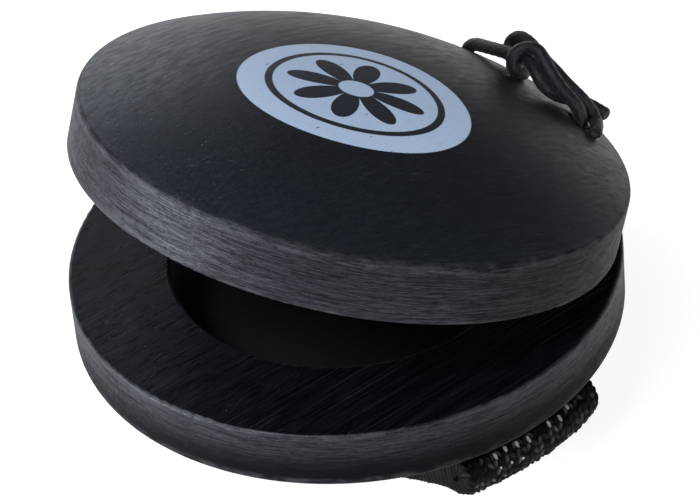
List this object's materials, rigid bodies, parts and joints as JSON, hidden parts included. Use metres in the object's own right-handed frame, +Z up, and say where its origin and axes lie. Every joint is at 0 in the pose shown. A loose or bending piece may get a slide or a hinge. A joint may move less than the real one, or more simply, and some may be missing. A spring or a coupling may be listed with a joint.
{
  "type": "finger castanet",
  "caption": "Round black-stained wooden finger castanet: domed shells with turned hollows, hinged by a knotted elastic cord, and a flat woven elastic finger strap.",
  "frame": {"origin": "centre of the folded finger strap's flat underside, on the surface the castanet rests on", "axes": "+Z up through the shells, +Y from the mouth towards the cord hinge, +X towards the side where the folded strap shows past the shell"},
  "size_m": [0.0589, 0.0596, 0.0432],
  "materials": {
    "black_wood": "black-stained turned hardwood with a thin satin coat",
    "woven_elastic": "matt black woven elastic with pale rubber strands",
    "elastic_cord": "tightly braided black elastic cord with a slight sheen",
    "tack_steel": "dull plated steel"
  },
  "bodies": {
    "lower": {"lower_shell": "black_wood", "finger_strap": "woven_elastic", "strap_tack_front": "tack_steel", "strap_tack_rear": "tack_steel", "cord_bight": "elastic_cord"},
    "upper": {"upper_shell": "black_wood", "cord_leg_left": "elastic_cord", "cord_leg_right": "elastic_cord", "cord_strand_left": "elastic_cord", "cord_strand_right": "elastic_cord", "cord_knot": "elastic_cord", "cord_tail_short": "elastic_cord", "cord_tail_long": "elastic_cord"}
  },
  "joints": [
    {"name": "shell_hinge", "type": "hinge", "parent": "lower", "child": "upper", "pos_m": [0, 0.0211, 0.0193], "axis": [1, 0, 0], "range_deg": [0, 19.6], "stiffness_Nm_per_rad": 0.08, "springref_deg": -14.32}
  ]
}
